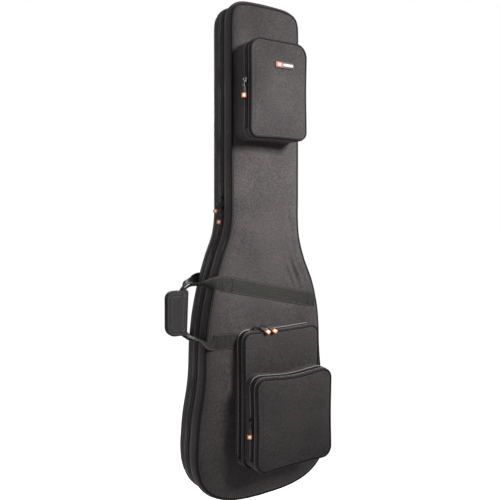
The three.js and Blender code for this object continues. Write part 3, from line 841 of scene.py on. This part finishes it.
def handle_half(side):
    """The webbing of one half, from the right edge across the face, through the grip and back to the body."""
    word, body, loop = WORD[side], HALF[side], f"{WORD[side]}_loop"
    stub_end = mm(f"{word}_handle_stub")[1][0] - 1
    drop = 0 if side < 0 else -3
    lean = 1.4 if side < 0 else 0.5
    xs = np.linspace(150 if side < 0 else 141, -135, 48)
    lie = [(p, (0, 0, 1), 1) for p in on_face(np.stack([xs, strap_level(xs)], axis=1), side, 1.3)]
    free = []
    for x, y, z, sinks, a, b, rise, share in FREE_RUN:
        free.append(((x, side * y, z + sinks * drop), (side * a, side * b, rise * lean), share))
    xs = np.linspace(-152, stub_end, 18)
    stub = [(p, (0, 0, -1), 1) for p in on_face(np.stack([xs, 0 * xs + STUB_LEVEL], axis=1), side, 1.3)]
    rows = smooth([(*place, *across, share) for place, across, share in lie + free + stub], 3)
    path, width = rows[:, :3], HANDLE_WIDTH * rows[:, 6]
    obj, u, v = ribbon_piece(f"{word}_handle_webbing", path, unit(rows[:, 3:6]), width, None)
    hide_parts(f"{word}_handle_strap", f"{word}_handle_stub", f"{word}_handle_loop")

    boxes = []
    for x0, x1, high in ((122, 146, True), (-131, -104, True), (-147, -124, False)):
        z0, z1 = strap_level([x0, x1]) if high else (STUB_LEVEL, STUB_LEVEL)
        corners = [(x0, z0 - 15), (x1, z1 - 15), (x1, z1 + 15), (x0, z0 + 15)]
        boxes += box_stitch(*on_face(corners, side, 2.5), [0, side, 0])
    merged(f"{word}_handle_boxes", boxes, body, thread_dark)
    outward = v * np.sign((v[0, 1] * side) or 1)
    threads = merged(f"{word}_handle_stitching", edge_stitches(path, u, outward, width), None, thread)
    for made in (obj, threads):
        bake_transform(made)


def grip_pad(side):
    """One side of the padded wrap: square at the bag's side where it folds, and round at the outer side."""
    word, loop = WORD[side], f"{WORD[side]}_loop"
    x0, x1, z0, z1 = grip_low[0] + 0.6, grip_high[0] - 0.4, grip_low[2], grip_high[2]
    outline = Outline(arcs([(x1 - 9, z0 + 5, 5, -0.5), (x1 - 4, z1 - 4, 4, 0), (x0 + 17, z1 - 17, 17, 0.5),
                            (x0 + 22, z0 + 22, 22, 1)], 12), 160)
    centre_x, centre_z = (x0 + x1) / 2, (z0 + z1) / 2

    def inwards(ring, t):
        """A ring drawn a share of the way to the pad's middle line."""
        line = np.clip(ring[:, 2], centre_z - 26, centre_z + 26)
        return ring + (np.stack([0 * line + centre_x, ring[:, 1], line], axis=1) - ring) * t

    keys = [(3, 0.5), (0.8, 0.5), (-0.3, 1.2), (-0.6, 3), (0, 5.2), (1.6, 7.0), (3.2, 7.6), (4.2, 7.3),
            (6, 8.0), (10, 9.0), (15, 9.7)]
    edge = rings_along(outline, keys, 3, side)
    rings = [inwards(edge[0], 1), inwards(edge[0], 0.5), *edge]
    for t in (0.35, 0.7, 1):
        ring = inwards(edge[-1], t)
        ring[:, 1] += side * (0.5 * t + 0.4 * np.sin(ring[:, 2] / 9) * t)
        rings.append(ring)
    pad = loft(f"{word}_wrap", rings, loop, nylon_dark, flip=side < 0, joined=True)
    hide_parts(f"{word}_grip")
    sewn = []
    for inset, y in ((3.8, 7.45), (12, 9.25)):
        sewn += stitches(closed_up(outline.ring(inset, side * y)), [0, side, 0], 2.8, 1.2)
    merged(f"{word}_wrap_stitching", sewn, loop, thread)
    band_keys = [(0.6, 1.0), (-0.9, 1.3), (-1.2, 3.6), (-0.5, 6.2), (1.2, 7.9), (3.0, 8.3)]
    band = loft(f"{word}_wrap_binding", rings_along(outline, band_keys, 3, side), loop, binding,
                flip=side < 0, thick=0.6)


for half in (-1, 1):
    handle_half(half)
    grip_pad(half)

# ---------------- zip sliders and pulls

LINK_END = 17.1  # from a pull's pivot to where its rubber tab begins to droop


def pull_axes(name):
    """Pivot of a pull and its own axes: along it, across it and off the wall."""
    joint = next(j for j in frame["joints"] if j["name"] == f"{name}_pull_swing")
    pivot = (np.array(joint["pos_m"]) - ORIGIN) * 1000
    hinge = unit(np.array(joint["axis"], float))
    verts = frame["nodes"][f"{name}_pull"].data.vertices
    middle = np.mean([(np.array(v.co) - ORIGIN) * 1000 for v in verts], axis=0)
    along = middle - pivot
    along = unit(along - along.dot(hinge) * hinge)
    across = -hinge
    return pivot, along, across, np.cross(along, across)


def rounded_bar(low, high, soft):
    """A box with rounded corners in plan and eased top and bottom edges, in a pull's own axes."""
    (x0, y0, z0), (x1, y1, z1) = low, high
    ring = round_box(x0, y0, x1, y1, soft, soft, 4)
    centre = ring.mean(axis=0)
    ease = min(0.5, (z1 - z0) / 4)
    layers = []
    for z, shrink in ((z0, ease), (z0 + ease, 0), (z1 - ease, 0), (z1, ease)):
        scaled = ring - shrink * unit(ring - centre)
        layers.append(np.column_stack([scaled, np.full(len(ring), z)]))
    n = len(ring)
    return np.vstack(layers), band_faces(3, 4, n) + [list(range(n))[::-1], list(range(3 * n, 4 * n))]


def wire_loop(path, radius, sides=8):
    """A closed wire lying in the plane z = 0 of a pull's own axes."""
    tangent = unit(np.roll(path, -1, axis=0) - np.roll(path, 1, axis=0))
    up = np.array([0.0, 0.0, 1.0])
    side = unit(np.cross(up, tangent))
    angle = np.arange(sides)[None, :, None] * 2 * math.pi / sides
    rings = path[:, None] + radius * (np.cos(angle) * side[:, None] + np.sin(angle) * up)
    return rings.reshape(-1, 3), band_faces(len(path), len(path), sides)


def turned_about(vectors, axis, angle):
    """Vectors turned about an axis by degrees."""
    c, s = math.cos(math.radians(angle)), math.sin(math.radians(angle))
    return [v * c + np.cross(axis, v) * s + axis * axis.dot(v) * (1 - c) for v in vectors]


def build_pull(name, twist, lean, droop):
    """A pull that leans sideways from its CAD node. Its rubber tab twists and droops from the link."""
    pivot, along, hinge, off = pull_axes(name)
    along, across = turned_about([along, hinge], off, lean)
    fall = math.radians(droop)

    def hooked(shape):
        """The link, whose near bar stays on the hinge while the rest leans."""
        verts, faces = shape
        free = np.clip((verts[:, :1] - 1) / 8, 0, 1)
        width = unit(hinge * (1 - free) + across * free)
        return pivot + verts[:, :1] * along + verts[:, 1:2] * width + verts[:, 2:] * off, faces

    def twisted(low, high, soft):
        """A rounded bar of the tab."""
        verts, faces = rounded_bar(low, high, soft)
        near = np.clip((verts[:, 0] - 14) / 8, 0, 1) * math.radians(twist)
        c, s = np.cos(near), np.sin(near)
        y = verts[:, 1] * c - verts[:, 2] * s
        z = verts[:, 1] * s + verts[:, 2] * c
        reach = verts[:, 0] - LINK_END
        x = LINK_END + reach * math.cos(fall) + z * math.sin(fall)
        z = z * math.cos(fall) - reach * math.sin(fall)
        return pivot + np.stack([x, y, z], axis=1) @ np.stack([along, across, off]), faces

    body = f"{name}_pull"
    outline = resample(np.pad(round_box(-0.1, -3.2, 19.0, 3.2, 1.9, 1.9, 6), ((0, 0), (0, 1))), 44)
    link = merged(f"{name}_pull_link", [hooked(wire_loop(outline, 0.75))], body, steel)
    grip = [twisted((14.6, -3.2, -1.45), (18.5, 3.2, 1.45), 1.2),
            twisted((17.6, -4.6, -1.5), (32, 4.6, 1.5), 1.6)]
    for x in np.arange(20, 31, 2.4):
        grip.append(twisted((x, -3.4, 1.1), (x + 1.1, 3.4, 1.95), 0.4))
    tab = merged(f"{name}_pull_tab", grip, body, rubber)
    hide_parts(f"{name}_pull")
    tip = merged(f"{name}_pull_tip", [twisted((30.6, -5.6, -1.65), (41.8, 5.6, 1.65), 1.5)], body, orange)
    block = merged(f"{name}_pull_mark", [twisted((33.2, -2.9, -1.9), (39.2, 2.9, 1.9), 1.0)], body, white)


def recolor(node_name, material):
    """Gives a CAD node that stays visible a material."""
    data = frame["nodes"][node_name].data
    data.materials.clear()
    data.materials.append(material)


PULLS = {  # twist, lean and droop in degrees
    "main_upper": (-40, 0, 0),
    "main_lower": (-40, 0, -12),
    "upper_pocket": (-48, 0, 0),
    "large_left": (35, -25, 28),
    "large_right": (32, -52, 28),
    "small_pocket": (-48, 0, 0),
}
for pull_name, lie in PULLS.items():
    build_pull(pull_name, *lie)
    recolor(f"{pull_name}_slider", lacquer)

# ---------------- patch on the upper pocket


def build_badge():
    """A woven patch with a plain block and a plain bar."""
    (x0, _, z0), (x1, back, z1) = mm("badge")
    y = back - 4.4
    plates = {
        "base": ((x0 + 1, z0 + 1.5), (x1 - 1, z1 - 1.5), 1.2, 2, rubber),
        "block": ((x0 + 2, z0 + 2.5), (x0 + 21, z1 - 2.5), 2.0, 2.5, patch_orange),
        "window": ((x0 + 7, z0 + 5.5), (x0 + 17, z1 - 5.5), 2.3, 2, patch_white),
        "bar": ((x0 + 23, z0 + 6.2), (x1 - 3, z1 - 5.4), 2.0, 2, patch_white),
    }
    for word, (low, high, rise, soft, material) in plates.items():
        verts, faces = rounded_bar((*low, 0), (*high, rise), soft)
        verts = np.stack([verts[:, 0], y - verts[:, 2], verts[:, 1]], axis=1)
        plate = merged(f"patch_{word}", [(verts, [f[::-1] for f in faces])], "upper_pocket_flap", material)
        if word == "base":
            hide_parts("badge")


build_badge()

# ---------------- shoulder straps and haul loop

HAUL_Z = 1160
NARROW = 25  # width of the haul loop and of the lower straps


def haul_loop():
    _, high = mm("haul_loop")
    half, stand = high[0], high[1] - 1
    lie = FACE + 3.6
    right = [(0, stand), (10, stand - 1.5), (19, lie + 15), (26, lie + 4), (half - 14, lie), (half, lie)]
    left = [(-x, y) for x, y in right[:0:-1]]
    path = smooth([(x, y, HAUL_Z) for x, y in left + right], 6)
    loop = ribbon_piece("haul_webbing", path, ALONG_Z, NARROW, "back_half")[0]
    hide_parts("haul_loop")
    sewn = []
    for s in (-1, 1):
        a, b = s * (half - 2.5), s * (half - 13)
        corners = [np.array([x, lie + 0.95, HAUL_Z + z]) for x, z in ((a, -10), (b, -10), (b, 10), (a, 10))]
        sewn += box_stitch(*corners, [0, 1, 0])
    merged("haul_stitching", sewn, "back_half", thread)


haul_loop()


def shoulder_strap(word, side):
    """A padded strap with its bound edges, the loop at its foot, and the webbing from there to the bag."""
    keys = [(34, 55, 826), (34, 58, 806), (36, 70, 770), (42, 88, 690), (52, 92, 600), (62, 84, 510),
            (69, 68, 440), (70, 66.5, 432)]
    path = smooth(keys, 8) * [side, 1, 1]
    run = lengths(path)
    share = run / run[-1]
    taper = np.clip(np.minimum(share / 0.04, (1 - share) / 0.10), 0, 1)
    width = 62 * np.where(share < 0.5, 1, 0.62 + 0.38 * np.sin(taper * math.pi / 2))
    u, v = strap_axes(path, np.broadcast_to(ALONG_X, path.shape))
    v *= np.sign(v[len(v) // 2, 1])
    angle = np.linspace(0, 2 * math.pi, 40, endpoint=False)
    c, s = np.cos(angle), np.sin(angle)
    a = np.sign(c) * np.abs(c) ** 0.45
    b = np.sign(s) * np.abs(s) ** 0.7 * (1 - np.abs(a) ** 6 * 0.45)
    channel = 0.82 + 0.18 * np.abs(np.sin(np.clip(a * 1.6, -1.57, 1.57))) ** 0.5
    thick = 5.6 * np.clip(np.minimum(share / 0.03, (1 - share) / 0.05), 0.35, 1)
    rings = path[:, None] + u[:, None] * (a[None, :, None] * width[:, None, None] / 2) \
        + v[:, None] * (b * channel)[None, :, None] * thick[:, None, None]
    pad = loft(f"shoulder_pad_{word}", rings, "back_half", nylon_strip_painted_light, caps=True, flip=side < 0)
    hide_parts(f"shoulder_strap_{word}")
    inner = slice(2, -2)
    sewn = edge_stitches(path[inner], u[inner], v[inner], width[inner], 6, 4.3)
    merged(f"shoulder_stitching_{word}", sewn, "back_half", thread)
    for sign, tag in ((-1, "inner"), (1, "outer")):
        line = path + u * (sign * (width / 2 + 0.1))[:, None]
        edge = loft(f"shoulder_edge_{word}_{tag}", tube(line, 2.1, 8), "back_half", binding, caps=True)

    loop_keys = [(66, 446), (70.4, 434), (71.0, 428), (69.8, 423.5), (66.5, 421), (62.5, 421.5), (60.6, 426),
                 (60.8, 434), (63.5, 446)]
    foot = smooth([(side * 70.5, y, z) for y, z in loop_keys], 4)
    ribbon_piece(f"adjuster_loop_{word}", foot, ALONG_X, NARROW, "back_half")
    anchor = [(122, FACE + 5.0, 205), (116, FACE + 5.4, 232), (110, FACE + 7, 252), (100, 60, 292),
              (84, 61.5, 345), (73, 61, 388), (70.8, 60.9, 398), (70.6, 61.4, 403), (70.5, 65, 405.4),
              (70.5, 69, 403.5), (70.8, 70.0, 398), (72, 72.5, 384), (75, 76, 360), (78, 77, 335)]
    tail = smooth(anchor, 5) * [side, 1, 1]
    lace, u, _ = ribbon_piece(f"strap_lace_{word}", tail, (1.0, 0.0, 0.28 * side), NARROW, "back_half")
    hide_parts(f"strap_webbing_{word}")
    outward = np.array([0.0, 1.0, 0.0])
    corners = [tail[k] + u[0] * w + outward for w, k in ((-10, 1), (-10, 5), (10, 5), (10, 1))]
    sewn = box_stitch(*corners, outward)
    merged(f"strap_anchor_stitching_{word}", sewn, "back_half", thread)
    recolor(f"strap_adjuster_{word}", buckle)


shoulder_strap("left", -1)
shoulder_strap("right", 1)


def flat_pad(name, node_name, material, side, top, bottom, soft=2.5, crown=1.0):
    """A sewn patch or pad on the back half, with eased edges, that fills its CAD node."""
    low, high = mm(node_name)
    outline = Outline(rounded_points(low, high, top, bottom, 0.6), 180)
    near, far = (low[1], high[1]) if side > 0 else (high[1], low[1])
    keys = [(soft, near), (0, near + side * 0.2), (0, (near + far) / 2),
            (soft * 0.4, far - side * soft * 0.3), (soft, far), (soft * 2.2, far + side * crown * 0.5)]
    rings = rings_along(outline, keys, 3)
    wide, _, tall = (high - low) / 2
    centre = (low + high) / 2
    reach = 0.9 * np.array([max(wide - tall, 0), 0, max(tall - wide, 0)])

    def inwards(ring, steps, rise):
        """Rings from a ring to a short middle line, rising on the way."""
        middle = np.clip(ring, centre - reach, centre + reach)
        middle[:, 1] = ring[:, 1]
        made = []
        for t in np.linspace(0, 1, steps + 1)[1:]:
            step = ring + (middle - ring) * t
            step[:, 1] += side * rise * (1 - (1 - t) ** 2)
            made.append(step)
        return made

    rings = [*inwards(rings[0], 2, 0)[::-1], *rings, *inwards(rings[-1], 5, crown * 0.5)]
    pad = loft(name, rings, "back_half", material, flip=side < 0, joined=True)
    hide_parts(node_name)
    ring = outline.ring(soft * 1.6, far + side * crown * 0.35)
    sewn_ring(f"{name}_stitching", ring, [0, side, 0], "back_half")


flat_pad("strap_yoke_patch", "strap_yoke", nylon, 1, 20, 6, crown=1.5)
flat_pad("neck_block", "neck_cradle", plush, -1, 8, 8, soft=2.0, crown=0.2)
flat_pad("bottom_pad", "end_pad", plush, -1, 6, 6, soft=3, crown=0.8)


def neck_band():
    low, high = mm("neck_strap")
    _, y, z = (low + high) / 2
    width = high[2] - low[2]
    xs = np.linspace(low[0], high[0], 40)
    path = np.stack([xs, y - 1.2 * np.cos(xs / 24) ** 2, 0 * xs + z], axis=1)
    band, u, _ = ribbon_piece("neck_band", path, ALONG_Z, width, "back_half")
    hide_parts("neck_strap")
    sewn = edge_stitches(path, u, np.tile([0.0, -1.0, 0.0], (len(xs), 1)), width)
    merged("neck_band_stitching", sewn, "back_half", thread)


neck_band()

# ---------------- camera, floor and light


def aimed(obj, place, target):
    obj.location = Vector(world(place))
    obj.rotation_euler = (Vector(world(target)) - Vector(world(place))).to_track_quat("-Z", "Y").to_euler()
    bpy.context.scene.collection.objects.link(obj)


EYE = np.array([-783.7, -1249.7, 715.6])
YAW, TILT = 0.5488, 0.0194
forward = np.array([math.sin(YAW) * math.cos(TILT), math.cos(YAW) * math.cos(TILT), -math.sin(TILT)])
camera = bpy.data.objects.new("camera", bpy.data.cameras.new("camera"))
camera.data.lens = 40.84
camera.data.sensor_width = 36
camera.data.clip_end = 60
camera.data.shift_y = -0.0503
aimed(camera, EYE, EYE + forward * 1000)
bpy.context.scene.camera = camera


def soft_spot(name, place, target, angle, power):
    light = bpy.data.lights.new(name, "SPOT")
    light.energy = power
    light.spot_size = math.radians(angle)
    light.spot_blend = 1.0
    light.shadow_soft_size = 0.3
    aimed(bpy.data.objects.new(name, light), place, target)


soft_spot("key", (600, -1700, 1500), (0, 0, 780), 40, 1140)
soft_spot("back_fill", (500, 2100, 1500), (0, 0, 700), 70, 620)

sky = bpy.data.worlds.new("studio")
bpy.context.scene.world = sky
sky.use_nodes = True
sky.node_tree.nodes["Background"].inputs["Color"].default_value = (1, 1, 1, 1)
sky.node_tree.nodes["Background"].inputs["Strength"].default_value = 1.0
bpy.context.scene.view_settings.view_transform = "Standard"

floor_mesh = bpy.data.meshes.new("floor")
reach = 14.0
floor_z = ORIGIN[2] - 0.30
floor_mesh.from_pydata([(-reach, -reach, floor_z), (reach, -reach, floor_z), (reach, reach, floor_z),
                        (-reach, reach, floor_z)], [], [(0, 1, 2, 3)])
paper, tree, shader = nodes_of("floor_paper", 0.9)
grain = node(tree, "ShaderNodeTexNoise", {"Scale": 40.0})
tint = mixed(tree, grain.outputs[0], (0.90, 0.90, 0.90), (0.93, 0.93, 0.93))
tree.links.new(tint, shader.inputs["Base Color"])
shader.inputs["Emission Color"].default_value = (1, 1, 1, 1)
shader.inputs["Emission Strength"].default_value = 0.12
floor_mesh.materials.append(paper)
floor = bpy.data.objects.new("floor", floor_mesh)
bpy.context.scene.collection.objects.link(floor)
